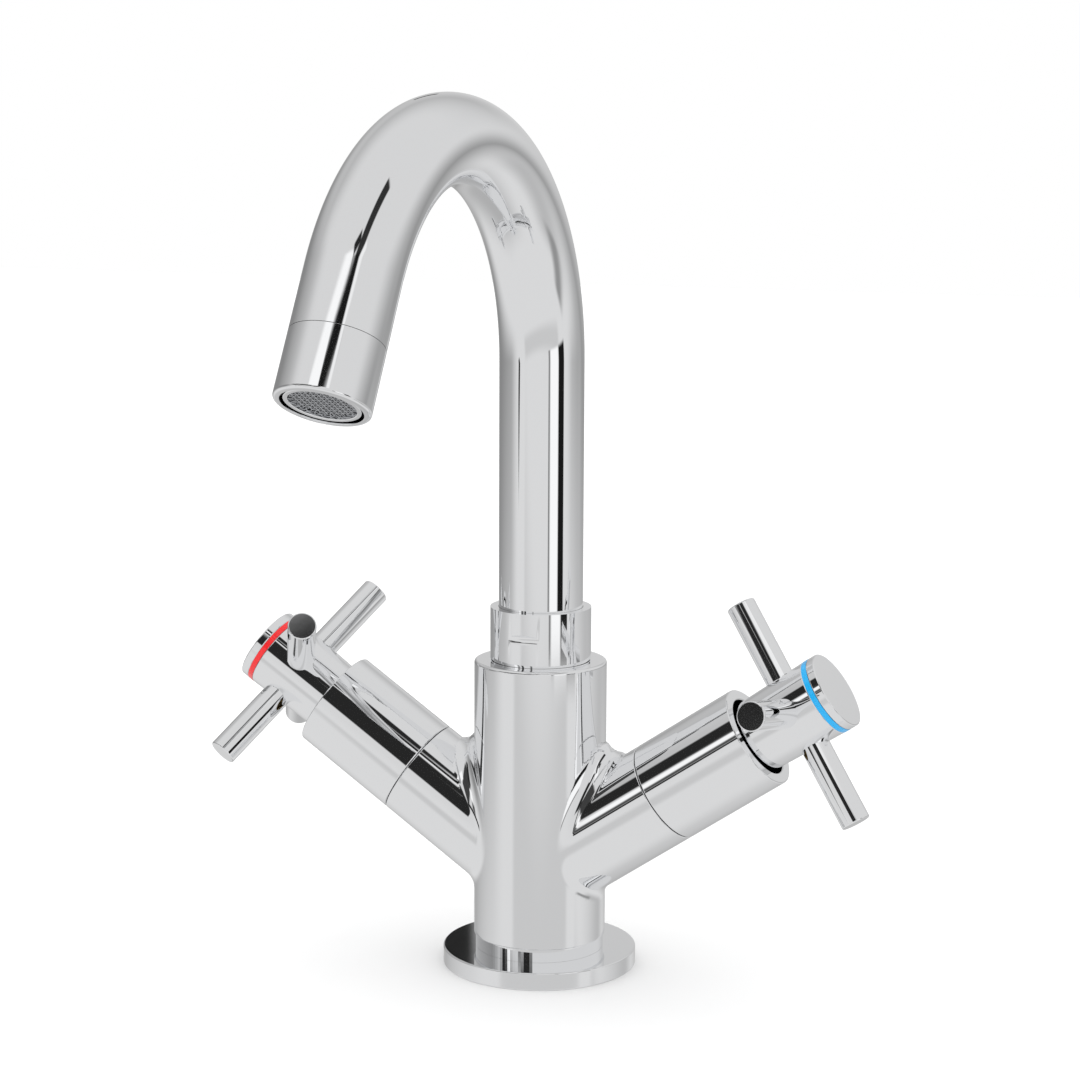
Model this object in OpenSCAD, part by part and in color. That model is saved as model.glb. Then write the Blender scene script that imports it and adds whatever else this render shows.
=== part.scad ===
// Two-handle basin mixer: swivel tube spout, two tilted valve arms, cross handles.
// Frame: origin on the column axis at the underside of the base flange, +Z up.
// The spout reaches towards -Y, the hot arm towards -X and the cold arm towards +X.

/* [Column] */
// Diameter of the column
column_d = 40; // [37:0.5:52]
// Height of the column above its foot ring
column_h = 85; // [84:0.5:110]
// Height of the foot ring between flange and column
foot_h = 4; // [2:0.5:10]
// How much smaller the foot ring is than the column, on the radius
foot_inset = 0.5; // [0.2:0.1:1.5]
// Chamfer on the column's top rim
column_chamfer = 0.8; // [0.3:0.1:1.2]

/* [Base flange] */
// Diameter of the base flange
flange_d = 58.8; // [50:0.2:76]
// Thickness of the base flange
flange_t = 5.4; // [4:0.1:9]
// Diameter of the opening in the flange, which locates the column's spigot
flange_bore_d = 32; // [31:0.5:36]
// How far the spigot's end lies above the underside of the flange
spigot_lift = 1; // [0.5:0.1:2]
// Width of the base seal
base_seal_w = 4; // [3:0.5:5]
// Height of the base seal
base_seal_h = 1.6; // [1:0.1:2.5]
// Rim of the flange outside the base seal
seal_rim = 4.4; // [3:0.1:6]

/* [Inlets and fixing] */
// Tapping diameter of each hose inlet, for an M10 x 1 thread
inlet_d = 9; // [8:0.1:9.2]
// Distance between the two inlets
inlet_pitch = 18; // [17:0.5:19]
// Depth of each inlet thread
inlet_depth = 12; // [10:0.5:14]
// Tapping diameter of the fixing stud hole, for an M8 thread
stud_d = 6.8; // [5:0.1:7]
// Depth of the stud hole
stud_depth = 15; // [10:0.5:20]
// Distance of the stud hole behind the column axis
stud_offset = 10; // [9.5:0.1:11]

/* [Valve arms] */
// Tilt of the arms above the horizontal, in degrees
arm_tilt = 34.3; // [30:0.1:38]
// Height at which the arm axes meet the column axis
arm_root_z = 29.9; // [28:0.1:34]
// Length of each arm from the column axis to its seam
arm_len = 48.4; // [46:0.2:60]
// Wall of the neck around the valve pocket
neck_wall = 2.7; // [2:0.1:4]
// Length of the neck
neck_len = 6; // [5:0.1:8]
// Diameter of the valve pocket, for a G 1/2 headwork
pocket_d = 21; // [20.6:0.1:21.4]
// Depth of the valve pocket below the seam
pocket_depth = 18.2; // [17.5:0.1:18.6]

/* [Waterways] */
// Diameter of the risers from the inlets
riser_d = 7; // [5:0.1:7.4]
// Diameter of the bore from riser to valve seat
seat_bore_d = 9; // [7:0.1:9.4]
// Inner end of the seat bores, measured along the arm from the column axis
seat_bore_start = 8; // [7.5:0.1:10]
// Diameter of the passages from the valve pockets to the mixing chamber
mix_passage_d = 5; // [4:0.1:5.4]
// Height of the passages above the pockets' inner corners
mix_passage_rise = 0.4; // [-1:0.1:1]
// Diameter of the mixing chamber
chamber_d = 16; // [12:0.5:17]
// Distance from the passages to the floor of the chamber
chamber_floor = 6; // [4:0.5:8]

/* [Spout socket] */
// Depth of the threaded socket
socket_depth = 13.6; // [13:0.1:16]
// Diameter of the bore that the spout tail turns in
seal_bore_d = 22; // [20:0.1:23]
// Length of the seal bore
seal_bore_len = 19; // [18:0.1:21]

/* [Collar] */
// Wall of the collar nut around the spout tube
collar_wall = 2.45; // [2:0.05:4]
// Step from the collar nut in to its thread
collar_step = 0.25; // [0.2:0.05:0.6]
// Height of the collar nut above the column
collar_h = 15.7; // [10:0.1:25]
// Gap between collar and column
collar_gap = 0.6; // [0.3:0.1:1.5]
// Depth of the turning notch in the front of the collar
notch_depth = 0.8; // [0.4:0.1:1.2]
// Width of the turning notch, up the collar
notch_w = 3; // [2:0.1:4]

/* [Spout] */
// Diameter of the spout tube
tube_d = 25.3; // [24:0.1:26]
// Wall of the spout tube
tube_wall = 1.5; // [1:0.1:2]
// Height at which the bend starts
bend_start_z = 184.8; // [140:0.2:260]
// Radius of the bend, on the centre line
bend_r = 65.1; // [45:0.1:90]
// Angle of the bend, in degrees
bend_angle = 151; // [120:1:175]
// Straight length after the bend, up to the nozzle
end_straight = 18.2; // [14:0.1:40]
// Axial clearance of the spout between its washers
spout_play = 0.05; // [0.02:0.01:0.1]
// Radial clearance of the spout tail in its bore
tail_clear = 0.05; // [0.02:0.01:0.1]

/* [Nozzle] */
// Length of the nozzle housing
nozzle_len = 18; // [17:0.1:24]
// Wall of the nozzle around the aerator's thread
nozzle_wall = 1.85; // [1.5:0.05:2.5]
// Thickness of the aerator washer
aerator_washer_t = 1.5; // [1:0.1:2]
// Depth of the mesh inside the aerator's rim
mesh_recess = 1.2; // [0.6:0.1:2]

/* [Sleeves] */
// Length of the sleeve over each valve
sleeve_len = 34.2; // [33:0.1:40]
// Wall of the sleeve around the neck
sleeve_wall = 2.4; // [2:0.1:4]
// Gap between the handle hub and the opening that it enters
mouth_gap = 1.4; // [1:0.1:2]
// Width of the seam between arm and sleeve
seam_gap = 0.2; // [0.1:0.05:0.4]

/* [Handles] */
// Diameter of the hub at its inner end
hub_d_inner = 21.8; // [21:0.1:22.6]
// Diameter of the hub at its outer end
hub_d_outer = 23.6; // [23:0.1:28]
// Diameter of the spokes
spoke_d = 8.7; // [7:0.1:9.4]
// Distance from the hub axis to the end of a spoke
spoke_reach = 36.3; // [30:0.1:45]
// Thickness of the coloured index ring
ring_t = 1.7; // [1:0.1:3]
// Thickness of the end cap's disc
cap_t = 2.7; // [1.5:0.1:5]
// Rest angle of the hot handle about its arm, in degrees
hot_turn = -48; // [-90:1:90]
// Rest angle of the cold handle about its arm, in degrees
cold_turn = -12; // [-90:1:90]
// Rest angle of the spout about the column, in degrees
spout_turn = -2.6; // [-60:0.1:60]

/* [Hidden] */
$fn = 64;

// sides of the column: hot towards -X, cold towards +X
HOT = -1;
COLD = 1;

// fits
eps = 0.01;              // overlap of a cut past a face
join = 1;                // depth to which the solids of one piece run into each other
touch = 0.02;            // gap between pieces that rest on each other
thread_clear = 0.05;     // radial gap in a thread
fit_clear = 0.1;         // radial gap of a located piece
run_clear = 0.05;        // radial gap of a turning shaft
disc_clear = 0.2;        // radial gap around the ceramic discs

// colours
CHROME = [0.80, 0.81, 0.83];
BRASS = [0.78, 0.63, 0.30];
CERAMIC = [0.93, 0.92, 0.88];
RUBBER = [0.08, 0.08, 0.08];
ACETAL = [0.90, 0.90, 0.86];
STEEL = [0.62, 0.63, 0.65];
RED = [0.90, 0.08, 0.08];
BLUE = [0.05, 0.60, 0.90];

// column, arms and base
column_z0 = flange_t + foot_h;
column_z1 = column_z0 + column_h;
spigot_d = flange_bore_d - 2 * fit_clear;
shelf_z = column_z1 - socket_depth;
seal_bore_z = shelf_z - seal_bore_len;
neck_d = pocket_d + 2 * neck_wall;
neck_w1 = arm_len + neck_len;
arm_d = neck_d + 2 * sleeve_wall;
seat_at = arm_len - pocket_depth;
riser_top = arm_root_z + inlet_pitch / 2 * tan(arm_tilt);
pocket_corner_x = seat_at * cos(arm_tilt) - pocket_d / 2 * sin(arm_tilt);
pocket_corner_z = arm_root_z + seat_at * sin(arm_tilt) + pocket_d / 2 * cos(arm_tilt);
mix_z = pocket_corner_z + mix_passage_rise;
mix_passage_x1 = pocket_corner_x + 4;
chamber_z = mix_z - chamber_floor;
base_seal_d = flange_d - 2 * seal_rim;
base_seal_bore_d = base_seal_d - 2 * base_seal_w;

// spout stack, from the shelf up
thrust_t = 0.8;
slip_t = 1;
tail_flange_t = 2.35;
tail_flange_z = shelf_z + thrust_t + spout_play;
tube_z = tail_flange_z + tail_flange_t;
slip_z = tube_z + spout_play;
collar_thread_z = slip_z + slip_t + touch;
collar_z0 = column_z1 + collar_gap;
collar_z1 = collar_z0 + collar_h;
collar_bore_d = tube_d + 2 * fit_clear;
collar_d = collar_bore_d + 2 * collar_wall;
collar_neck_d = collar_d - 4 * collar_step;
socket_d = collar_d - 2 * collar_step;
notch_r = (notch_w * notch_w / 4 + notch_depth * notch_depth) / (2 * notch_depth);
tail_d = seal_bore_d - 2 * tail_clear;
tail_flange_d = socket_d - 1.3;
tail_z = seal_bore_z + 1;
tail_bore_d = 14.4;
tail_spigot_len = 12;
tube_bore_d = tube_d - 2 * tube_wall;
end_draw = 0.1;
tail_seal_cord = 2;
tail_seal_lower_z = tail_z + 5;
tail_seal_upper_z = tail_z + 12;

// nozzle, measured along the spout's end from the end of the bend
nozzle_u0 = end_straight;
nozzle_u1 = nozzle_u0 + nozzle_len;
nozzle_spigot = 6;
aerator_d = tube_d - 2 * nozzle_wall;
aerator_u0 = nozzle_u1 - 10.4;
aerator_ring_u0 = aerator_u0 + aerator_washer_t + touch;
aerator_ring_u1 = nozzle_u1 - 0.4;
aerator_rim_d = aerator_d - 1.4;
aerator_bore_d = aerator_rim_d - 2.6;
mesh_u1 = aerator_ring_u1 - mesh_recess;
mesh_t = 0.4;
mesh_pitch = 1.6;
mesh_hole = 1;
mesh_rim = 1.2;
insert_ports = 10;
insert_port_d = 2.4;
insert_port_r = aerator_bore_d / 2 - 2.6;

// headwork, measured along the arm from the column axis
cage_d = pocket_d - 2.4;
cage_bore_d = cage_d - 1.6;
seat_seal_t = 1.95;
disc_t = 3.5;
disc_d = cage_bore_d - disc_clear;
cage_w0 = seat_at + 1;
fixed_w0 = seat_at + seat_seal_t + 2 * touch;
moving_w0 = fixed_w0 + disc_t + run_clear;
driver_w0 = moving_w0 + disc_t + touch;
driver_t = 2.6;
driver_d = cage_bore_d - 1;
tongue_w = 5;
tongue_h = 1.1;
cage_bore_w1 = driver_w0 + driver_t + 0.3;
cage_window = 7;
port_angle = 80;
port_r0 = 2;
port_r1 = disc_d / 2 - 1.4;
thread_w0 = arm_len - 6;
washer_t = 1;
headwork_flange_w0 = neck_w1 + washer_t + 2 * touch;
headwork_flange_t = 3;
headwork_flange_d = neck_d - 1.6;
hex_w0 = headwork_flange_w0 + headwork_flange_t;
hex_af = 17;
hex_t = 4;
headwork_w1 = hex_w0 + hex_t + 5.6;
barrel_d = 16.4;
spindle_bore_d = 10;
spindle_d = spindle_bore_d - 2 * run_clear;
spindle_seal_cord = 1.5;
spindle_seal_w = [headwork_flange_w0 - 8, headwork_flange_w0 - 3];
clip_w0 = headwork_w1 + touch;
clip_t = 0.8;
clip_groove_d = 8.6;
clip_d = 13.6;
clip_mouth = 5;
spindle_shoulder_w1 = clip_w0 + clip_t + 1.2;
spline_d = 7.9;

// sleeve and handle, measured along the arm from the column axis
sleeve_w0 = arm_len + seam_gap;
sleeve_w1 = arm_len + sleeve_len + seam_gap;
sleeve_lip = 6;
sleeve_mouth_d = hub_d_inner + 2 * mouth_gap;
hub_w0 = sleeve_w1 - 4.3;
spoke_w = sleeve_w1 + 14.2;
hub_w1 = spoke_w + 9.6;
hub_skirt = 5.5;
socket_w0 = hub_w0 + hub_skirt;
hub_skirt_wall = 2;
spline_w1 = spoke_w - 5.8;
socket_w1 = spline_w1 + 0.4;
screw_seat_w = spoke_w + 4.1;
cap_recess_w = spoke_w + 7.5;
cap_spigot_d = hub_d_outer - 3;
screw_d = 4.9;
screw_head_d = 9.2;
screw_head_t = 2.6;
screw_len = screw_seat_w - spline_w1 + 8;
screw_hex_af = 4;
screw_hex_floor = 0.8;
spoke_seat_r = hub_d_inner / 2 - 0.5;
spoke_thread_d = 6;
spoke_thread_in = 4;
edge_chamfer = 0.4;

module on_arm(side) translate([0, 0, arm_root_z]) rotate([0, side * (90 - arm_tilt), 0]) children();

module on_handle(side) on_arm(side) rotate([0, 0, side == HOT ? hot_turn : cold_turn]) children();

module on_spout() rotate([0, 0, spout_turn]) children();

// end of the bend, with +Z along the straight that follows it
module at_bend_end() translate([0, -bend_r, bend_start_z]) rotate([bend_angle, 0, 0])
    translate([0, bend_r, 0]) children();

module on_outlet() on_spout() at_bend_end() children();

module rod(d, w0, w1) translate([0, 0, w0]) cylinder(d = d, h = w1 - w0);

module ring(d_out, d_in, w0, w1) difference() {
    rod(d_out, w0, w1);
    rod(d_in, w0 - eps, w1 + eps);
}

// rod whose upper edge is chamfered
module capped_rod(d, w0, w1, c) union() {
    rod(d, w0, w1 - c);
    translate([0, 0, w1 - c]) cylinder(d1 = d, d2 = d - 2 * c, h = c);
}

module o_ring(centre_d, cord) rotate_extrude() translate([centre_d / 2, 0]) circle(d = cord);

// ring groove cut into a shaft of diameter d
module seal_groove(d, cord) ring(d + 2, d - 2 * cord - 2 * touch, -cord * 0.6, cord * 0.6);

module body() color(CHROME) difference() {
    union() {
        rod(spigot_d, spigot_lift, flange_t + join);
        rod(column_d - 2 * foot_inset, flange_t + touch, column_z0 + join);
        capped_rod(column_d, column_z0, column_z1, column_chamfer);
        for (side = [HOT, COLD]) on_arm(side) {
            rod(arm_d, 0, arm_len);
            rod(neck_d, arm_len - join, neck_w1);
        }
    }
    rod(socket_d, shelf_z, column_z1 + eps);
    rod(seal_bore_d, seal_bore_z, shelf_z + eps);
    rod(chamber_d, chamber_z, seal_bore_z + eps);
    translate([0, stud_offset, 0]) rod(stud_d, 0, spigot_lift + stud_depth);
    for (side = [HOT, COLD]) {
        translate([side * inlet_pitch / 2, 0, 0]) {
            rod(inlet_d, 0, spigot_lift + inlet_depth);
            rod(riser_d, spigot_lift + inlet_depth - eps, riser_top);
        }
        on_arm(side) {
            rod(seat_bore_d, seat_bore_start, seat_at + eps);
            rod(pocket_d, seat_at, neck_w1 + eps);
        }
        translate([0, 0, mix_z]) rotate([0, side * 90, 0]) rod(mix_passage_d, 0, mix_passage_x1);
    }
}

module base_flange() color(CHROME) difference() {
    capped_rod(flange_d, 0, flange_t, edge_chamfer);
    rod(flange_bore_d, -eps, flange_t + eps);
    ring(base_seal_d + touch, base_seal_bore_d - touch, -eps, base_seal_h + touch);
}

module base_seal() color(RUBBER) ring(base_seal_d, base_seal_bore_d, 0, base_seal_h);

module collar_nut() color(CHROME) difference() {
    union() {
        capped_rod(collar_d, collar_z0, collar_z1, edge_chamfer);
        rod(socket_d - 2 * thread_clear, collar_thread_z, column_z1);
        rod(collar_neck_d, column_z1 - eps, collar_z0 + eps);
    }
    rod(collar_bore_d, collar_thread_z - eps, collar_z1 + eps);
    translate([0, -(collar_d / 2 - notch_depth + notch_r), (collar_z0 + collar_z1) / 2])
        rotate([0, 90, 0])
            cylinder(r = notch_r, h = collar_d, center = true);
}

module thrust_washer() color(ACETAL)
    ring(socket_d - 2 * fit_clear, seal_bore_d + 0.4, shelf_z + touch, shelf_z + thrust_t);

module slip_ring() color(ACETAL)
    ring(socket_d - 2 * fit_clear, collar_bore_d, slip_z, slip_z + slip_t);

module spout_path(d, z0, u1) {
    rod(d, z0, bend_start_z);
    translate([0, -bend_r, bend_start_z])
        rotate([90, 0, 90])
            rotate_extrude(angle = bend_angle)
                translate([bend_r, 0])
                    circle(d = d);
    // the straight is drawn through a die, so it is a little slimmer than the bend
    at_bend_end() rod(d - end_draw, -join, u1);
}

module spout_tube() color(CHROME) on_spout() difference() {
    spout_path(tube_d, tube_z + touch, end_straight);
    spout_path(tube_bore_d, tube_z - 1, end_straight + 1);
}

module spout_tail() color(BRASS) difference() {
    union() {
        rod(tail_d, tail_z, tail_flange_z + eps);
        rod(tail_flange_d, tail_flange_z, tube_z);
        rod(tube_bore_d - 2 * thread_clear, tube_z - eps, tube_z + tail_spigot_len);
    }
    rod(tail_bore_d, tail_z - eps, tube_z + tail_spigot_len + eps);
    for (z = [tail_seal_lower_z, tail_seal_upper_z]) translate([0, 0, z]) seal_groove(tail_d, tail_seal_cord);
}

module tail_seal(z) color(RUBBER) translate([0, 0, z]) o_ring(tail_d - tail_seal_cord, tail_seal_cord);

module nozzle() color(CHROME) on_outlet() difference() {
    union() {
        rod(tube_bore_d - end_draw - 2 * thread_clear, nozzle_u0 - nozzle_spigot, nozzle_u0 + join);
        capped_rod(tube_d, nozzle_u0 + seam_gap / 2, nozzle_u1, edge_chamfer);
    }
    rod(tail_bore_d, nozzle_u0 - nozzle_spigot - eps, nozzle_u1);
    rod(aerator_d, aerator_u0, nozzle_u1 + eps);
}

module aerator_washer() color(RUBBER) on_outlet()
    ring(aerator_d - 2 * fit_clear, tail_bore_d, aerator_u0 + touch, aerator_u0 + aerator_washer_t);

module aerator_ring() color(CHROME) on_outlet() difference() {
    union() {
        rod(aerator_d - 2 * thread_clear, aerator_ring_u0, aerator_ring_u0 + 4);
        rod(aerator_rim_d, aerator_ring_u0, aerator_ring_u1);
    }
    rod(aerator_bore_d, aerator_ring_u0 - eps, aerator_ring_u1 + eps);
}

module aerator_insert() color(ACETAL) on_outlet() difference() {
    rod(aerator_bore_d - 2 * touch, aerator_ring_u0 + 1, mesh_u1 - mesh_t - touch);
    for (k = [1:insert_ports]) rotate([0, 0, 360 / insert_ports * k]) translate([insert_port_r, 0, 0])
        rod(insert_port_d, aerator_ring_u0, nozzle_u1);
}

module aerator_mesh() color(STEEL) on_outlet() difference() {
    rod(aerator_bore_d - 2 * touch, mesh_u1 - mesh_t, mesh_u1);
    for (i = [-6:6], j = [-6:6])
        if (norm([i, j]) * mesh_pitch < aerator_bore_d / 2 - mesh_rim)
            translate([i * mesh_pitch, j * mesh_pitch, mesh_u1])
                cube([mesh_hole, mesh_hole, 4 * mesh_t], center = true);
}

module headwork(side) color(BRASS) on_arm(side) difference() {
    union() {
        rod(cage_d, cage_w0, thread_w0);
        rod(pocket_d - 2 * thread_clear, thread_w0 - eps, neck_w1);
        rod(pocket_d - 1.6, neck_w1 - eps, headwork_flange_w0 + eps);
        rod(headwork_flange_d, headwork_flange_w0, hex_w0);
        translate([0, 0, hex_w0 - eps]) cylinder(r = hex_af / sqrt(3), h = hex_t, $fn = 6);
        rod(barrel_d, hex_w0 + hex_t - 2 * eps, headwork_w1);
    }
    rod(cage_bore_d, cage_w0 - eps, cage_bore_w1);
    rod(spindle_bore_d, cage_bore_w1 - eps, headwork_w1 + eps);
    // side windows that let the water out of the cage
    translate([0, 0, moving_w0 + disc_t / 2 + 0.4]) cube([2 * cage_d, cage_window, disc_t], center = true);
}

module seat_seal(side) color(RUBBER) on_arm(side)
    ring(disc_d, seat_bore_d + 0.4, seat_at + touch, seat_at + seat_seal_t);

// two openings of a ceramic disc, opposite each other
module disc_ports(w0) for (a = [0, 180]) rotate([0, 0, a - port_angle / 2]) translate([0, 0, w0 - join])
    rotate_extrude(angle = port_angle) translate([port_r0, 0]) square([port_r1 - port_r0, disc_t + 2 * join]);

module fixed_disc(side) color(CERAMIC) on_arm(side) difference() {
    rod(disc_d, fixed_w0, fixed_w0 + disc_t);
    disc_ports(fixed_w0);
}

module moving_disc(side) color(CERAMIC) on_arm(side) rotate([0, 0, 90]) difference() {
    rod(disc_d - 2 * touch, moving_w0, moving_w0 + disc_t);
    disc_ports(moving_w0);
    translate([-tongue_w / 2 - fit_clear, -disc_d, moving_w0 + disc_t - tongue_h - fit_clear])
        cube([tongue_w + 2 * fit_clear, 2 * disc_d, tongue_h + join]);
}

module spindle(side) color(BRASS) on_arm(side) difference() {
    union() {
        rod(driver_d, driver_w0, driver_w0 + driver_t);
        intersection() {
            rod(driver_d, driver_w0 - tongue_h, driver_w0 + eps);
            rotate([0, 0, 90]) translate([-tongue_w / 2, -disc_d, driver_w0 - tongue_h])
                cube([tongue_w, 2 * disc_d, tongue_h + eps]);
        }
        rod(spindle_d, driver_w0 + driver_t - eps, spindle_shoulder_w1);
        rod(spline_d, spindle_shoulder_w1 - eps, spline_w1);
    }
    for (w = spindle_seal_w) translate([0, 0, w]) seal_groove(spindle_d, spindle_seal_cord);
    ring(spindle_d + 2, clip_groove_d, clip_w0 - touch, clip_w0 + clip_t + 2 * touch);
    rod(screw_d + 2 * thread_clear, screw_seat_w - screw_len - join, spline_w1 + eps);
}

module spindle_seals(side) color(RUBBER) on_arm(side) for (w = spindle_seal_w)
    translate([0, 0, w]) o_ring(spindle_d - spindle_seal_cord, spindle_seal_cord);

// open spring clip that keeps the spindle in the headwork
module spindle_clip(side) color(STEEL) on_arm(side) difference() {
    ring(clip_d, clip_groove_d + 2 * touch, clip_w0 + touch, clip_w0 + clip_t);
    translate([0, -clip_mouth / 2, clip_w0 - join]) cube([clip_d, clip_mouth, clip_t + 2 * join]);
}

module headwork_washer(side) color(RUBBER) on_arm(side)
    ring(headwork_flange_d - 0.4, pocket_d - 1.2, neck_w1 + touch, neck_w1 + washer_t);

module sleeve(side) color(CHROME) on_arm(side) difference() {
    capped_rod(arm_d, sleeve_w0, sleeve_w1, edge_chamfer);
    rod(neck_d + 2 * thread_clear, sleeve_w0 - eps, sleeve_w1 - sleeve_lip);
    rod(sleeve_mouth_d, sleeve_w1 - sleeve_lip - eps, sleeve_w1 + eps);
}

module hub(side) color(CHROME) on_handle(side) difference() {
    translate([0, 0, hub_w0]) cylinder(d1 = hub_d_inner, d2 = hub_d_outer, h = hub_w1 - hub_w0);
    rod(hub_d_inner - 2 * hub_skirt_wall, hub_w0 - eps, socket_w0);
    rod(spline_d + 2 * fit_clear, socket_w0 - eps, socket_w1);
    rod(screw_d + 0.4, socket_w1 - eps, screw_seat_w + eps);
    rod(screw_head_d + 1, screw_seat_w, hub_w1);
    rod(cap_spigot_d + 2 * touch, cap_recess_w, hub_w1 + eps);
    for (a = [0, 90, 180, 270]) rotate([0, 0, a]) translate([0, 0, spoke_w]) rotate([0, 90, 0]) {
        rod(spoke_d + fit_clear, spoke_seat_r, hub_d_outer);
        rod(spoke_thread_d + 2 * thread_clear, spoke_seat_r - spoke_thread_in, hub_d_outer);
    }
}

module spoke(side, k) color(CHROME) on_handle(side) rotate([0, 0, 90 * k]) translate([0, 0, spoke_w])
    rotate([0, 90, 0]) {
        rod(spoke_thread_d, spoke_seat_r - spoke_thread_in + touch, spoke_seat_r + join);
        capped_rod(spoke_d, spoke_seat_r + touch, spoke_reach, edge_chamfer);
    }

module index_ring(side) color(side == HOT ? RED : BLUE) on_handle(side)
    ring(hub_d_outer + 0.1, cap_spigot_d + 2 * touch, hub_w1 + touch, hub_w1 + ring_t);

module end_cap(side) color(CHROME) on_handle(side) {
    rod(cap_spigot_d, cap_recess_w + touch, hub_w1 + ring_t + join);
    capped_rod(hub_d_outer, hub_w1 + ring_t + touch, hub_w1 + ring_t + cap_t, edge_chamfer);
}

module handle_screw(side) color(STEEL) on_handle(side) difference() {
    union() {
        rod(screw_d, screw_seat_w - screw_len, screw_seat_w + join);
        rod(screw_head_d, screw_seat_w + touch, screw_seat_w + screw_head_t);
    }
    // hexagon socket of the screw
    translate([0, 0, screw_seat_w + screw_hex_floor])
        cylinder(r = screw_hex_af / sqrt(3), h = screw_head_t, $fn = 6);
}

body();
base_flange();
base_seal();
collar_nut();
thrust_washer();
slip_ring();
spout_tube();
spout_tail();
tail_seal(tail_seal_lower_z);  // tail_seal_lower
tail_seal(tail_seal_upper_z);  // tail_seal_upper
nozzle();
aerator_washer();
aerator_ring();
aerator_insert();
aerator_mesh();
for (side = [HOT, COLD]) {
    name = side == HOT ? "hot_" : "cold_";
    headwork(side);
    seat_seal(side);
    fixed_disc(side);
    moving_disc(side);
    spindle(side);
    spindle_seals(side);
    spindle_clip(side);
    headwork_washer(side);
    sleeve(side);
    hub(side);
    for (k = [1:4]) spoke(side, k);
    index_ring(side);
    end_cap(side);
    handle_screw(side);
}
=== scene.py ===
"""Looks of a two-handle basin mixer: chromed pieces around its packed CAD frame, in metres."""

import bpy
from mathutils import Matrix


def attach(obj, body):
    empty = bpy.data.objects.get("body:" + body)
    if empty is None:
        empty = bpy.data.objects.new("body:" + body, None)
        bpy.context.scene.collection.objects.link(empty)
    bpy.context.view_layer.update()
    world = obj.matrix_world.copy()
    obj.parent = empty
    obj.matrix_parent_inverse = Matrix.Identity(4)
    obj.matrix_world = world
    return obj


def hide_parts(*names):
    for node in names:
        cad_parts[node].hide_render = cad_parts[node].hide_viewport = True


bl_info = {
    "name": "Basin Mixer",
    "version": (1, 0, 0),
    "blender": (4, 5, 0),
    "location": "3D View > Sidebar > Basin Mixer",
    "description": "Builds the visible pieces, finishes and studio of a two-handle basin mixer",
    "category": "Object",
}

from math import cos, hypot, pi, radians, sin, sqrt

import bmesh
import bpy
import numpy as np
from bpy.props import FloatProperty, FloatVectorProperty, IntProperty, PointerProperty
from mathutils import Matrix, Vector

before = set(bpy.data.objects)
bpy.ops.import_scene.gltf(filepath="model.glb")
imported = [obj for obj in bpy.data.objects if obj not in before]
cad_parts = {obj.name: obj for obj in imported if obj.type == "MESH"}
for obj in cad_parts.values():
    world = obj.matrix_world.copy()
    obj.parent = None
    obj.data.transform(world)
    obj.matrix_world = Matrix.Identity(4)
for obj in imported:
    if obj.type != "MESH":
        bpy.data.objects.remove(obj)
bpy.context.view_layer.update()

MM = 0.001
TINY = 1e-9
SIDES = {"hot": -1, "cold": 1}

# column, base and collar
COLUMN_R = 20 * MM
COLUMN_TOP = 94.4 * MM
COLUMN_FOOT = 9.4 * MM
COLUMN_FOOT_ROUND = 0.3 * MM
FOOT_R = 19.5 * MM
FOOT_GAP = 0.02 * MM
FLANGE_R = 29.4 * MM
FLANGE_TOP = 5.4 * MM
FLANGE_BORE_R = 16 * MM
SEAL_BORE_R = 20.98 * MM
SEAL_R = 25.02 * MM
SEAL_H = 1.62 * MM
SOCKET_R = 14.95 * MM
SOCKET_DEPTH = 6 * MM
COLLAR_R = 15.2 * MM
COLLAR_NECK_R = 14.7 * MM
COLLAR_NECK_START = 90 * MM
COLLAR_FOOT = 95 * MM
COLLAR_TOP = 110.7 * MM
COLLAR_BORE_R = 12.75 * MM
COLLAR_EDGE = 0.25 * MM

# arms, measured along each arm from the column axis
ARM_TILT = radians(34.3)
ARM_ROOT = 29.9 * MM
ARM_R = 15.6 * MM
ARM_END = 48.4 * MM
ARM_END_ROUND = 0.25 * MM
NECK_R = 13.2 * MM
NECK_SHOWN = 1.5 * MM
SLEEVE_BORE_R = NECK_R + 0.1 * MM
SLEEVE_START = 48.6 * MM
SLEEVE_END = 82.8 * MM
MOUTH_R = 12.3 * MM
MOUTH_DEPTH = 6 * MM
MOUTH_CONE = 1 * MM

# handles, measured along each arm from the column axis
HUB_START = 78.5 * MM
HUB_END = 106.6 * MM
HUB_R_START = 10.9 * MM
HUB_R_END = 11.8 * MM
HUB_RECESS = 5 * MM
HUB_WALL = 2 * MM
HUB_EDGE = 0.3 * MM
SPOKES = 4
SPOKE_AT = 97.0 * MM
SPOKE_R = 4.35 * MM
SPOKE_SEAT = 10.42 * MM
SPOKE_END = 36.3 * MM
SPOKE_STEPS = 72
RING_R = HUB_R_END + 0.05 * MM
RING_BORE_R = HUB_R_END - 1.5 * MM
RING_END = 108.3 * MM
RING_EDGE = 0.12 * MM
CAP_END = 111.0 * MM
TURN = {"hot": radians(-48), "cold": radians(-12)}

# spout
SPOUT_TURN = radians(-2.6)
TUBE_R = 12.65 * MM
TUBE_BORE_R = 11.15 * MM
TUBE_START = 84.1 * MM
BEND_START = 184.8 * MM
BEND_R = 65.1 * MM
BEND_ANGLE = radians(151)
BEND_STEPS = 150
END_STRAIGHT = 18.2 * MM
TUBE_EDGE = 0.15 * MM

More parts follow.
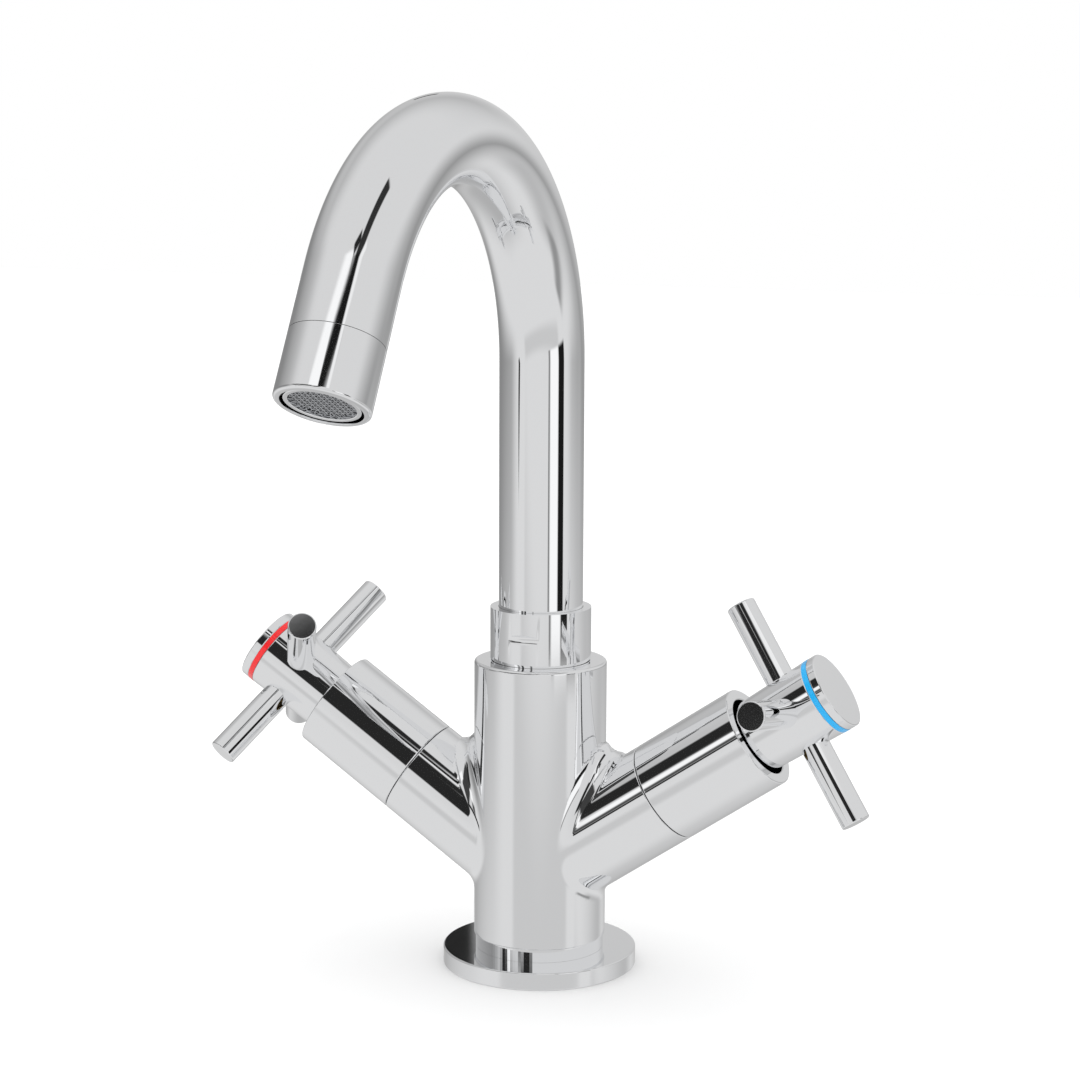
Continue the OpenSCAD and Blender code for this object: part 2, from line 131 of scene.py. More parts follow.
# nozzle, measured along the spout's end from the end of the bend
NOZZLE_START = 18.3 * MM
NOZZLE_END = 36.2 * MM
NOZZLE_BORE_R = 10.8 * MM
NOZZLE_TAIL_R = TUBE_BORE_R - 0.5 * MM
LIP_R = 0.9 * MM
LIP_STEPS = 6
LIP_EASE = 0.05 * MM
AERATOR_START = 27.3 * MM
AERATOR_RIM_R = 10.1 * MM
AERATOR_BORE_R = 8.8 * MM
AERATOR_END = 35.8 * MM
AERATOR_EDGE = 0.3 * MM
SCREEN_AT = 34.4 * MM
SCREEN_GAP = 0.02 * MM
WIRE_SIDES = 6
STEPS_PER_WIRE = 4

# holes: the notch in the collar, and the tapped holes under the column
NOTCH_AT = (0, -16.2 * MM, 102.85 * MM)
NOTCH_R = 1.8 * MM
SPIGOT_R = 15.9 * MM
SPIGOT_FOOT = 1.0 * MM
SPIGOT_TOP = 20 * MM
SPIGOT_EDGE = 0.3 * MM
INLET_AT = 9 * MM
INLET_R = 4.5 * MM
INLET_DEPTH = 12 * MM
STUD_AT = 10 * MM
STUD_R = 3.4 * MM
STUD_DEPTH = 15 * MM

# how the column's shell is made: a rough union that overruns its ends, moved onto the true surface
ROUGH_STEPS = 96
OVERRUN = 8 * MM
SETTLE_PASSES = 6
BALL_PASSES = 12
CUT_REACH = 1.15
CUT_BAND = 3 * MM
ROUND_STEPS = 5

# studio: the floor, the lamp's angle, the camera's shift to the right and up, and what the plating
# mirrors, which is FLOOR_TONE below the horizon's two heights and WALL_TONE above them
FLOOR_COLOUR = (0.9, 0.9, 0.9, 1)
LAMP_ANGLE = radians(120)
CAMERA_RIGHT = -0.34 * MM
CAMERA_UP = 0.73 * MM
SENSOR_WIDTH = 36
HORIZON = (-0.1, 0.15)
FLOOR_TONE = 0.73
WALL_TONE = 0.70

# white and dark cards that the plating mirrors: name, then in degrees azimuth from the camera,
# elevation, half width, half height, turn and softness of the edge, then brightness
CARDS = (
    ("left grey", -125, 5, 45, 20, 10, 30, 0.25),
    ("right grey", 135, -5, 55, 5, -5, 25, 0.2),
    ("low back grey", 180, -50, 20, 35, 10, 35, 0.45),
    ("low right grey", 110, -25, 25, 10, 25, 20, 0.5),
    ("high back grey", -165, 35, 45, 10, 10, 40, 0.45),
    ("floor in front", 0, -20, 45, 6, 0, 8, 0.6),
    ("black behind flange", -176, 18, 2.5, 1.5, 0, 0.5, 0.02),
    ("white strip", 34, -2, 10, 10, 0, 2, 1.0),
    ("thin line", 20, -2, 2, 10, 0, 1, 0.25),
    ("black strip", 54, -2, 8, 10, 0, 2, 0.01),
    ("low strip", 80, -27, 15, 5, -5, 8, 0.3),
    ("big black", -50, 30, 20, 11, 5, 3, 0.05),
    ("black along hot arm", -14, 28, 6, 18, -40, 3, 0.02),
    ("dark over bend", 40, 56, 18, 5, 27, 2, 0.03),
    ("white over nozzle", -18, 48, 15, 4, 8, 2, 1.0),
    ("black over nozzle", 10, 47, 13, 2, -7, 2, 0.01),
    ("black above hot arm", 11, 54, 5, 3, 20, 2, 0.02),
    ("black along cold arm", -74, 25, 10, 5, -30, 4, 0.02),
    ("white along cold arm", -56, 13, 6, 5, -45, 2, 1.0),
    ("line along cold arm", -54, 8, 3, 6, -45, 4, 0.08),
    ("black along spokes", -47, 8, 24, 1.5, 40, 1, 0.02),
    ("white along spokes", 14, 41, 18, 2, 24, 2, 0.9),
)


class MixerPieces(bpy.types.PropertyGroup):
    """Sizes of the looks that are finer than the CAD frame"""

    joint_fillet: FloatProperty(
        name="Joint fillet", description="Radius that blends each arm into the column",
        default=6 * MM, min=1 * MM, max=12 * MM, subtype="DISTANCE", unit="LENGTH")
    body_grain: FloatProperty(
        name="Body mesh size", description="Edge length of the column's mesh",
        default=0.9 * MM, min=0.5 * MM, max=2 * MM, subtype="DISTANCE", unit="LENGTH")
    rim_radius: FloatProperty(
        name="Rim radius", description="Rounding of the column's top rim",
        default=0.9 * MM, min=0.1 * MM, max=2 * MM, subtype="DISTANCE", unit="LENGTH")
    edge_radius: FloatProperty(
        name="Edge radius", description="Rounding of the turned pieces' edges",
        default=0.4 * MM, min=0.05 * MM, max=1 * MM, subtype="DISTANCE", unit="LENGTH")
    turning_steps: IntProperty(
        name="Turning steps", description="Faces around each turned piece",
        default=144, min=32, max=256)
    wire_pitch: FloatProperty(
        name="Wire pitch", description="Distance between the wires of the aerator's screen",
        default=1.1 * MM, min=0.5 * MM, max=2 * MM, subtype="DISTANCE", unit="LENGTH")
    wire_width: FloatProperty(
        name="Wire width", description="Diameter of the wires of the aerator's screen",
        default=0.32 * MM, min=0.1 * MM, max=0.6 * MM, subtype="DISTANCE", unit="LENGTH")


class MixerFinish(bpy.types.PropertyGroup):
    """Colours and polish of the mixer"""

    chrome_colour: FloatVectorProperty(
        name="Chrome", description="Colour of the plated pieces",
        default=(0.93, 0.935, 0.945), size=3, min=0, max=1, subtype="COLOR")
    chrome_roughness: FloatProperty(
        name="Chrome roughness", description="Roughness of the polished plating",
        default=0.03, min=0, max=1, subtype="FACTOR")
    hot_colour: FloatVectorProperty(
        name="Hot ring", description="Enamel of the hot handle's ring",
        default=(0.86, 0.008, 0.012), size=3, min=0, max=1, subtype="COLOR")
    cold_colour: FloatVectorProperty(
        name="Cold ring", description="Enamel of the cold handle's ring",
        default=(0.0, 0.42, 0.86), size=3, min=0, max=1, subtype="COLOR")
    brass_colour: FloatVectorProperty(
        name="Brass", description="Colour of the bare brass inside",
        default=(0.72, 0.50, 0.21), size=3, min=0, max=1, subtype="COLOR")
    rubber_colour: FloatVectorProperty(
        name="Rubber", description="Colour of the seals",
        default=(0.018, 0.018, 0.019), size=3, min=0, max=1, subtype="COLOR")
    ceramic_colour: FloatVectorProperty(
        name="Ceramic", description="Colour of the valve discs",
        default=(0.86, 0.84, 0.79), size=3, min=0, max=1, subtype="COLOR")
    acetal_colour: FloatVectorProperty(
        name="Acetal", description="Colour of the moulded rings",
        default=(0.78, 0.78, 0.75), size=3, min=0, max=1, subtype="COLOR")
    # painted shade: the aerator's insert gets a near-black colour for the shade in the nozzle's recess, not
    # its own pale acetal
    insert_shade_colour: FloatVectorProperty(
        name="Aerator insert painted shade", description="Colour of the insert behind the aerator's screen",
        default=(0.035, 0.035, 0.038), size=3, min=0, max=1, subtype="COLOR")
    steel_colour: FloatVectorProperty(
        name="Steel", description="Colour of screws, clips and the screen",
        default=(0.55, 0.56, 0.58), size=3, min=0, max=1, subtype="COLOR")


class MixerStudio(bpy.types.PropertyGroup):
    """Camera and light of the studio"""

    camera_azimuth: FloatProperty(
        name="Camera azimuth", description="Turn of the camera about the column, from the spout's side",
        default=radians(20.43), subtype="ANGLE", unit="ROTATION")
    camera_elevation: FloatProperty(
        name="Camera elevation", description="Height of the camera as an angle",
        default=radians(9.29), subtype="ANGLE", unit="ROTATION")
    camera_distance: FloatProperty(
        name="Camera distance", description="Distance from the camera to the point it aims at",
        default=0.7843, min=0.2, subtype="DISTANCE", unit="LENGTH")
    camera_roll: FloatProperty(
        name="Camera roll", description="Roll of the camera about its view",
        default=radians(0.254), subtype="ANGLE", unit="ROTATION")
    camera_lens: FloatProperty(
        name="Lens", description="Focal length on a 36 mm sensor, in millimetres",
        default=87.28, min=10, unit="CAMERA")
    aim_height: FloatProperty(
        name="Aim height", description="Height of the point that the camera aims at",
        default=0.130, subtype="DISTANCE", unit="LENGTH")
    floor_size: FloatProperty(
        name="Floor size", description="Width of the floor",
        default=6.0, min=0.5, subtype="DISTANCE", unit="LENGTH")
    room_light: FloatProperty(
        name="Room light", description="Brightness of the even white light from all around",
        default=1.0, min=0)
    overhead_light: FloatProperty(
        name="Overhead light", description="Brightness of the broad light from above",
        default=1.1, min=0)


# ---- places -------------------------------------------------------------------------------

def on_arm(side):
    """Z runs out along the arm from the column's axis."""
    lean = Matrix.Rotation(SIDES[side] * (pi / 2 - ARM_TILT), 4, "Y")
    return Matrix.Translation((0, 0, ARM_ROOT)) @ lean


def on_handle(side):
    """The arm's place, turned as the handle rests."""
    return on_arm(side) @ Matrix.Rotation(TURN[side], 4, "Z")


def on_spout():
    """The column's place, turned as the spout rests."""
    return Matrix.Rotation(SPOUT_TURN, 4, "Z")


def on_outlet():
    """Z runs along the spout's end from the end of the bend."""
    centre = Matrix.Translation((0, -BEND_R, BEND_START))
    return on_spout() @ centre @ Matrix.Rotation(BEND_ANGLE, 4, "X") @ Matrix.Translation((0, BEND_R, 0))


# ---- shapes -------------------------------------------------------------------------------

def turned(profile, steps=None):
    """Turns an outline of (radius, height) points about Z. Ends on the axis close the piece."""
    bm = bmesh.new()
    outline = [bm.verts.new((r, 0, w)) for r, w in profile]
    pairs = list(zip(outline, outline[1:]))
    if profile[0][0] > 0:
        pairs.append((outline[-1], outline[0]))
    edges = [bm.edges.new(pair) for pair in pairs]
    steps = steps or bpy.context.scene.mixer_pieces.turning_steps
    bmesh.ops.spin(bm, geom=outline + edges, cent=(0, 0, 0), axis=(0, 0, 1), angle=2 * pi, steps=steps,
                   use_merge=True, use_duplicate=False)
    bmesh.ops.remove_doubles(bm, verts=bm.verts, dist=1e-7)
    bmesh.ops.recalc_face_normals(bm, faces=bm.faces)
    return bm


def bar(radius, length, steps=64):
    """Round bar along Z, centred on the origin."""
    bm = bmesh.new()
    bmesh.ops.create_cone(bm, cap_ends=True, segments=steps, radius1=radius, radius2=radius, depth=length)
    return bm


def extruded(bm, edges):
    """Extrudes edges in place. Gives the new vertices, the edges between them and the faces."""
    made = bmesh.ops.extrude_edge_only(bm, edges=edges)["geom"]
    verts = [v for v in made if isinstance(v, bmesh.types.BMVert)]
    inside = set(verts)
    rim = [e for e in made if isinstance(e, bmesh.types.BMEdge) and inside.issuperset(e.verts)]
    return verts, rim, [f for f in made if isinstance(f, bmesh.types.BMFace)]


def carved(bm, tool):
    """A closed shape less a closed tool."""
    stock = add_mesh("stock", bm)
    cutter = add_mesh("cutter", tool)
    cut = stock.modifiers.new("Cut", "BOOLEAN")
    cut.object = cutter
    cut.operation = "DIFFERENCE"
    cut.solver = "EXACT"
    bpy.context.view_layer.update()
    result = bmesh.new()
    result.from_object(stock, bpy.context.evaluated_depsgraph_get())
    for part in (stock, cutter):
        bpy.data.objects.remove(part)
    return result


def add_mesh(name, bm):
    """Puts a bmesh into the scene as a new object and frees it."""
    mesh = bpy.data.meshes.new(name)
    bm.to_mesh(mesh)
    bm.free()
    piece = bpy.data.objects.new(name, mesh)
    bpy.context.scene.collection.objects.link(piece)
    return piece


def add_piece(name, bm, place, body, material, node, edge=None, limit=30):
    """Makes an object of a bmesh, in place, riding with its CAD body and standing for a CAD node."""
    bm.transform(place)
    piece = add_mesh(name, bm)
    piece.data.shade_smooth()
    piece.data.set_sharp_from_angle(angle=radians(limit))
    piece.data.materials.append(material)
    if edge:
        bevel = piece.modifiers.new("Edges", "BEVEL")
        bevel.width = edge
        bevel.segments = 3
        bevel.limit_method = "ANGLE"
        bevel.angle_limit = radians(limit)
        bevel.harden_normals = True
    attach(piece, body)
    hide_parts(node)
    return piece


# ---- finishes -----------------------------------------------------------------------------

def new_material(name):
    """A new material with its node tree, its shader and the piece's own coordinates."""
    material = bpy.data.materials.new(name)
    material.use_nodes = True
    tree = material.node_tree
    shader = tree.nodes["Principled BSDF"]
    place = tree.nodes.new("ShaderNodeTexCoord")
    return material, tree, shader, place.outputs["Object"]


def patina(tree, shader, place, scale, low, high):
    """Roughness that wanders a little over the surface, as handling and polishing leave it."""
    noise = tree.nodes.new("ShaderNodeTexNoise")
    noise.inputs["Scale"].default_value = scale
    noise.inputs["Detail"].default_value = 4
    spread = tree.nodes.new("ShaderNodeMapRange")
    spread.inputs["To Min"].default_value = low
    spread.inputs["To Max"].default_value = high
    tree.links.new(place, noise.inputs["Vector"])
    tree.links.new(noise.outputs["Fac"], spread.inputs["Value"])
    tree.links.new(spread.outputs["Result"], shader.inputs["Roughness"])
    return noise


def relief(tree, shader, height, strength, depth):
    """Fine unevenness of the surface."""
    bump = tree.nodes.new("ShaderNodeBump")
    bump.inputs["Strength"].default_value = strength
    bump.inputs["Distance"].default_value = depth
    tree.links.new(height, bump.inputs["Height"])
    tree.links.new(bump.outputs["Normal"], shader.inputs["Normal"])


def chrome():
    """Polished chrome plating, a little duller where hands and cloths have been."""
    look = bpy.context.scene.mixer_finish
    roughness = look.chrome_roughness
    material, tree, shader, place = new_material("Chrome plating")
    shader.inputs["Base Color"].default_value = (*look.chrome_colour, 1)
    shader.inputs["Metallic"].default_value = 1
    noise = patina(tree, shader, place, scale=60, low=roughness * 0.7, high=roughness * 1.5)
    relief(tree, shader, noise.outputs["Fac"], strength=0.2, depth=0.03 * MM)
    return material


def brass():
    """Turned brass: fine tool marks across the work and a little tarnish."""
    look = bpy.context.scene.mixer_finish
    material, tree, shader, place = new_material("Turned brass")
    shader.inputs["Metallic"].default_value = 1
    tarnish(tree, shader, place, look.brass_colour, change=0.62, scale=55)
    noise = patina(tree, shader, place, scale=900, low=0.16, high=0.34)
    relief(tree, shader, noise.outputs["Fac"], strength=0.35, depth=0.03 * MM)
    return material


def steel():
    """Drawn stainless steel with a fine grain."""
    look = bpy.context.scene.mixer_finish
    material, tree, shader, place = new_material("Drawn steel")
    shader.inputs["Metallic"].default_value = 1
    tarnish(tree, shader, place, look.steel_colour, change=0.8, scale=150)
    noise = patina(tree, shader, place, scale=1400, low=0.22, high=0.4)
    relief(tree, shader, noise.outputs["Fac"], strength=0.25, depth=0.02 * MM)
    return material


def rubber():
    """Moulded nitrile rubber, matt with a faint bloom."""
    look = bpy.context.scene.mixer_finish
    material, tree, shader, place = new_material("Seal rubber")
    tarnish(tree, shader, place, look.rubber_colour, change=2.2, scale=120)
    noise = patina(tree, shader, place, scale=700, low=0.55, high=0.8)
    relief(tree, shader, noise.outputs["Fac"], strength=0.4, depth=0.04 * MM)
    return material


def ceramic():
    """Lapped alumina, smooth and slightly cloudy."""
    look = bpy.context.scene.mixer_finish
    material, tree, shader, place = new_material("Lapped ceramic")
    tarnish(tree, shader, place, look.ceramic_colour, change=0.9, scale=300)
    patina(tree, shader, place, scale=400, low=0.12, high=0.25)
    return material


def acetal(name="Moulded acetal", colour=None):
    """Moulded acetal with the faint flow and grain of its mould."""
    look = bpy.context.scene.mixer_finish
    material, tree, shader, place = new_material(name)
    tarnish(tree, shader, place, colour or look.acetal_colour, change=0.88, scale=90)
    noise = patina(tree, shader, place, scale=600, low=0.35, high=0.5)
    relief(tree, shader, noise.outputs["Fac"], strength=0.2, depth=0.03 * MM)
    return material


def acetal_painted_with_shade():
    """The same plastic, painted near black as the shade in the recess behind the aerator's screen; the
    insert itself is pale acetal.
    """
    return acetal("Acetal painted with shade", bpy.context.scene.mixer_finish.insert_shade_colour)


def tarnish(tree, shader, place, colour, change, scale):
    """Colour that wanders between a tone and a darker or lighter one."""
    noise = tree.nodes.new("ShaderNodeTexNoise")
    noise.inputs["Scale"].default_value = scale
    noise.inputs["Detail"].default_value = 5
    blend = tree.nodes.new("ShaderNodeMix")
    blend.data_type = "RGBA"
    blend.inputs["A"].default_value = (*colour, 1)
    blend.inputs["B"].default_value = (*(min(1, part * change) for part in colour), 1)
    tree.links.new(place, noise.inputs["Vector"])
    tree.links.new(noise.outputs["Fac"], blend.inputs["Factor"])
    tree.links.new(blend.outputs["Result"], shader.inputs["Base Color"])


def get_material(name, maker):
    """The finish of that name, made the first time it is asked for."""
    return bpy.data.materials.get(name) or maker()


# ---- studio -------------------------------------------------------------------------------

def heading(azimuth, elevation):
    """Forward, right and up of a direction; azimuth 0 is the spout's side, -Y."""
    forward = Vector((sin(azimuth) * cos(elevation), -cos(azimuth) * cos(elevation), sin(elevation)))
    right = Vector((cos(azimuth), sin(azimuth), 0))
    return forward, right, forward.cross(right)


class MIXER_OT_studio(bpy.types.Operator):
    """Floor, soft light, dark and white cards around the mixer, and the camera"""

    bl_idname = "mixer.studio"
    bl_label = "Studio"

    def execute(self, context):
        studio = context.scene.mixer_studio
        self.add_camera(studio)
        self.add_floor(studio)
        self.add_light(studio)
        self.add_surround(studio)
        context.scene.view_settings.view_transform = "Standard"
        return {"FINISHED"}

    def add_camera(self, studio):
        back, right, up = heading(studio.camera_azimuth, studio.camera_elevation)
        roll = Matrix.Rotation(studio.camera_roll, 3, back)
        right, up = roll @ right, roll @ up
        camera = bpy.data.objects.new("Camera", bpy.data.cameras.new("Camera"))
        bpy.context.scene.collection.objects.link(camera)
        camera.data.lens = studio.camera_lens
        camera.data.sensor_width = SENSOR_WIDTH
        aim = Vector((0, 0, studio.aim_height)) + right * CAMERA_RIGHT + up * CAMERA_UP
        place = aim + back * studio.camera_distance
        turn = Matrix((right, up, back)).transposed()
        camera.matrix_world = Matrix.Translation(place) @ turn.to_4x4()
        bpy.context.scene.camera = camera

    def add_floor(self, studio):
        bm = bmesh.new()
        bmesh.ops.create_grid(bm, x_segments=8, y_segments=8, size=studio.floor_size / 2)
        floor = add_mesh("Floor", bm)
        floor.visible_glossy = False
        material, tree, shader, place = new_material("Pale floor")
        shader.inputs["Base Color"].default_value = FLOOR_COLOUR
        patina(tree, shader, place, scale=4, low=0.75, high=0.85)
        floor.data.materials.append(material)

    def add_light(self, studio):
        lamp = bpy.data.lights.new("Overhead", "SUN")
        lamp.angle = LAMP_ANGLE
        lamp.energy = studio.overhead_light
        light = bpy.data.objects.new("Overhead", lamp)
        light.visible_glossy = False
        bpy.context.scene.collection.objects.link(light)

    def add_surround(self, studio):
        """White room. Mirrored rays see a pale surround with white and dark cards, all far away."""
        world = bpy.data.worlds.new("Studio")
        world.use_nodes = True
        bpy.context.scene.world = world
        tree = world.node_tree
        room = tree.nodes["Background"]
        room.inputs["Color"].default_value = (1, 1, 1, 1)
        room.inputs["Strength"].default_value = studio.room_light
        mirrored = tree.nodes.new("ShaderNodeBackground")
        choice = tree.nodes.new("ShaderNodeMixShader")
        ray = tree.nodes.new("ShaderNodeLightPath")
        tree.links.new(ray.outputs["Is Glossy Ray"], choice.inputs["Fac"])
        tree.links.new(room.outputs["Background"], choice.inputs[1])
        tree.links.new(mirrored.outputs["Background"], choice.inputs[2])
        tree.links.new(choice.outputs["Shader"], tree.nodes["World Output"].inputs["Surface"])
        tree.links.new(self.card_tone(tree, studio), mirrored.inputs["Color"])

    def card_tone(self, tree, studio):
        """Brightness of the surround with every card laid over it, in the order of the list."""
        direction = tree.nodes.new("ShaderNodeTexCoord").outputs["Generated"]
        split = tree.nodes.new("ShaderNodeSeparateXYZ")
        tree.links.new(direction, split.inputs["Vector"])
        horizon = tree.nodes.new("ShaderNodeMapRange")
        horizon.interpolation_type = "SMOOTHSTEP"
        values = {"From Min": HORIZON[0], "From Max": HORIZON[1], "To Min": FLOOR_TONE, "To Max": WALL_TONE}
        for socket, value in values.items():
            horizon.inputs[socket].default_value = value
        tree.links.new(split.outputs["Z"], horizon.inputs["Value"])
        tone = horizon.outputs["Result"]
        card = self.card_group()
        for name, azimuth, elevation, width, height, turn, softness, brightness in CARDS:
            node = tree.nodes.new("ShaderNodeGroup")
            node.node_tree = card
            node.label = name
            forward, right, up = heading(studio.camera_azimuth + radians(azimuth), radians(elevation))
            roll = Matrix.Rotation(radians(turn), 3, forward)
            values = {"Forward": forward, "Right": roll @ right, "Up": roll @ up,
                      "Half Width": radians(width), "Half Height": radians(height),
                      "Softness": radians(softness), "Brightness": brightness}
            for socket, value in values.items():
                node.inputs[socket].default_value = value
            tree.links.new(direction, node.inputs["Direction"])
            tree.links.new(tone, node.inputs["Tone"])
            tone = node.outputs["Tone"]
        return tone

    def card_group(self):
        """Node group that lays one soft-edged card over the surround."""
        group = bpy.data.node_groups.new("Studio card", "ShaderNodeTree")
        for name in ("Direction", "Forward", "Right", "Up"):
            group.interface.new_socket(name, in_out="INPUT", socket_type="NodeSocketVector")
        for name in ("Tone", "Half Width", "Half Height", "Softness", "Brightness"):
            group.interface.new_socket(name, in_out="INPUT", socket_type="NodeSocketFloat")
        group.interface.new_socket("Tone", in_out="OUTPUT", socket_type="NodeSocketFloat")
        source = group.nodes.new("NodeGroupInput")
        target = group.nodes.new("NodeGroupOutput")

        def along(axis):
            node = group.nodes.new("ShaderNodeVectorMath")
            node.operation = "DOT_PRODUCT"
            group.links.new(source.outputs["Direction"], node.inputs[0])
            group.links.new(source.outputs[axis], node.inputs[1])
            return node.outputs["Value"]

        def math(operation, *values):
            node = group.nodes.new("ShaderNodeMath")
            node.operation = operation
            for slot, value in zip(node.inputs, values):
                if isinstance(value, (int, float)):
                    slot.default_value = value
                else:
                    group.links.new(value, slot)
            return node.outputs["Value"]

        def cover(angle, half):
            """1 inside the half angle, 0 outside, with a soft edge."""
            ramp = group.nodes.new("ShaderNodeMapRange")
            ramp.interpolation_type = "SMOOTHSTEP"
            margin = math("SUBTRACT", source.outputs[half], math("ABSOLUTE", angle))
            edge = math("DIVIDE", margin, source.outputs["Softness"])
            ramp.inputs["From Min"].default_value = -0.5
            ramp.inputs["From Max"].default_value = 0.5
            group.links.new(edge, ramp.inputs["Value"])
            return ramp.outputs["Result"]

        across = math("ARCTAN2", along("Right"), along("Forward"))
        upward = math("ARCSINE", along("Up"))
        inside = math("MULTIPLY", cover(across, "Half Width"), cover(upward, "Half Height"))
        change = math("SUBTRACT", source.outputs["Brightness"], source.outputs["Tone"])
        result = math("ADD", source.outputs["Tone"], math("MULTIPLY", inside, change))
        group.links.new(result, target.inputs["Tone"])
        return group


# ---- pieces -------------------------------------------------------------------------------

class MIXER_OT_spout(bpy.types.Operator):
    """Bent tube of the spout"""

    bl_idname = "mixer.spout"
    bl_label = "Spout"

    def execute(self, context):
        steps = context.scene.mixer_pieces.turning_steps
        bm = bmesh.new()
        for radius in (TUBE_R, TUBE_BORE_R):
            circle = bmesh.ops.create_circle(bm, segments=steps, radius=radius)
            bmesh.ops.translate(bm, verts=circle["verts"], vec=(0, 0, TUBE_START))
        start = bm.edges[:]
        upward = Vector((0, 0, 1))
        rings = self.run(bm, start, upward * (BEND_START - TUBE_START))
        bend = bmesh.ops.spin(bm, geom=rings, cent=(0, -BEND_R, BEND_START), axis=(1, 0, 0),
                              angle=BEND_ANGLE, steps=BEND_STEPS, use_merge=False, use_duplicate=False)
        rings = [e for e in bend["geom_last"] if isinstance(e, bmesh.types.BMEdge)]
        end = self.run(bm, rings, Matrix.Rotation(BEND_ANGLE, 3, "X") @ upward * END_STRAIGHT)
        for pair in (start, end):
            bmesh.ops.bridge_loops(bm, edges=pair)
        bmesh.ops.recalc_face_normals(bm, faces=bm.faces)
        add_piece("spout_tube_shell", bm, on_spout(), "spout",
                  get_material("Chrome plating", chrome), "spout_tube", edge=TUBE_EDGE)
        return {"FINISHED"}

    def run(self, bm, rings, way):
        """Straight length of tube from two rings. Gives the rings at its end."""
        verts, rim, _ = extruded(bm, rings)
        bmesh.ops.translate(bm, verts=verts, vec=way)
        return rim


class MIXER_OT_body(bpy.types.Operator):
    """Column with its two arms, blended by fillets"""

    bl_idname = "mixer.body"
    bl_label = "Body"

    def execute(self, context):
        sizes = context.scene.mixer_pieces
        self.fillet = sizes.joint_fillet
        rough = self.rough_union(sizes.body_grain)
        bm = bmesh.new()
        bm.from_mesh(rough)
        for vert, place in zip(bm.verts, self.settle(np.array([v.co for v in bm.verts]))):
            vert.co = place
        self.round_normals = {}
        flat = bm.faces.layers.int.new("flat")
        upright = Matrix.Identity(4)
        self.cut(bm, upright, COLUMN_R, COLUMN_TOP, sizes.rim_radius, SOCKET_R, COLUMN_TOP - SOCKET_DEPTH)
        self.cut(bm, upright, COLUMN_R, COLUMN_FOOT, COLUMN_FOOT_ROUND, FOOT_R, FLANGE_TOP + FOOT_GAP,
                 way=-1)
        for side in SIDES:
            self.cut(bm, on_arm(side), ARM_R, ARM_END, ARM_END_ROUND, NECK_R, ARM_END + NECK_SHOWN)
        normals = self.corner_normals(bm, flat)
        piece = add_mesh("body_shell", bm)
        piece.data.shade_smooth()
        piece.data.normals_split_custom_set(normals)
        piece.data.materials.append(get_material("Chrome plating", chrome))
        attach(piece, "base")
        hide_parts("body")
        return {"FINISHED"}

    def rough_union(self, grain):
        """Column and arms as one skin of even squares, longer than they will be."""
        bm = bmesh.new()
        bars = [(Matrix.Identity(4), COLUMN_R, COLUMN_FOOT - OVERRUN, COLUMN_TOP + OVERRUN)]
        bars += [(on_arm(side), ARM_R, 0, ARM_END + OVERRUN) for side in SIDES]
        for place, radius, start, end in bars:
            middle = Matrix.Translation((0, 0, (start + end) / 2))
            bmesh.ops.create_cone(bm, cap_ends=True, segments=ROUGH_STEPS, radius1=radius, radius2=radius,
                                  depth=end - start, matrix=place @ middle)
        rough = add_mesh("rough", bm)
        remesh = rough.modifiers.new("Voxels", "REMESH")
        remesh.mode = "VOXEL"
        remesh.voxel_size = grain
        bpy.context.view_layer.update()
        result = bpy.data.meshes.new_from_object(rough.evaluated_get(bpy.context.evaluated_depsgraph_get()))
        bpy.data.objects.remove(rough)
        return result

    def lengths(self, vectors):
        """Length of each vector, as a column that they can be divided by."""
        return np.maximum(np.linalg.norm(vectors, axis=1), TINY)[:, None]

    def cylinder(self, p, axis, radius):
        """Signed distance to an endless cylinder through the arms' root, and its slope."""
        q = p - np.array((0.0, 0.0, ARM_ROOT))
        away = q - (q * axis).sum(1)[:, None] * axis
        length = self.lengths(away)
        return length[:, 0] - radius, away / length

    def surface(self, p):
        """Signed distance to column and arms with a ball-rolled fillet between them, and its slope."""
        ball = self.fillet
        column_axis = np.array((0.0, 0.0, 1.0))
        side = np.where(p[:, :1] < 0, -1.0, 1.0)
        arm_axis = np.hstack((side * cos(ARM_TILT), 0 * side, 0 * side + sin(ARM_TILT)))

        def both(c):
            return (*self.cylinder(c, column_axis, COLUMN_R), *self.cylinder(c, arm_axis, ARM_R))

        d1, n1, d2, n2 = both(p)
        distance = np.where(d1 < d2, d1, d2)
        slope = np.where((d1 < d2)[:, None], n1, n2)
        # where a ball that touches both cylinders would lie
        near = (d1 < ball) & (d2 < ball)
        c = p.copy()
        for _ in range(BALL_PASSES):
            e1, m1, e2, m2 = both(c)
            dot = (m1 * m2).sum(1)
            det = np.maximum(1 - dot * dot, 1e-6)
            f1, f2 = ball - e1, ball - e2
            k1, k2 = (f1 - dot * f2) / det, (f2 - dot * f1) / det
            c = c + k1[:, None] * m1 + k2[:, None] * m2
            along = np.cross(m1, m2)
            along /= self.lengths(along)
            c = c + ((p - c) * along).sum(1)[:, None] * along
        # the fillet lies between the ball's two touching points
        _, m1, _, m2 = both(c)
        reach = self.lengths(p - c)
        inward = (p - c) / reach
        middle = -m1 - m2
        middle /= self.lengths(middle)
        filleted = near & ((inward * middle).sum(1) > (-m1 * middle).sum(1))
        distance = np.where(filleted, ball - reach[:, 0], distance)
        slope = np.where(filleted[:, None], -inward, slope)
        return distance, slope

    def settle(self, p):
        """Moves points onto the filleted surface."""
        for _ in range(SETTLE_PASSES):
            distance, slope = self.surface(p)
            p = p - distance[:, None] * slope
        return p

    def cut(self, bm, place, radius, end, rounding, inner, depth, way=1):
        """Ends the shell square to an axis, with a rounded edge, a flat face and a wall to a depth."""
        level = end - way * rounding
        inverse = place.inverted()

        def beyond(face):
            at = inverse @ face.calc_center_median()
            return hypot(at.x, at.y) < radius * CUT_REACH and (at.z - level) * way > -CUT_BAND

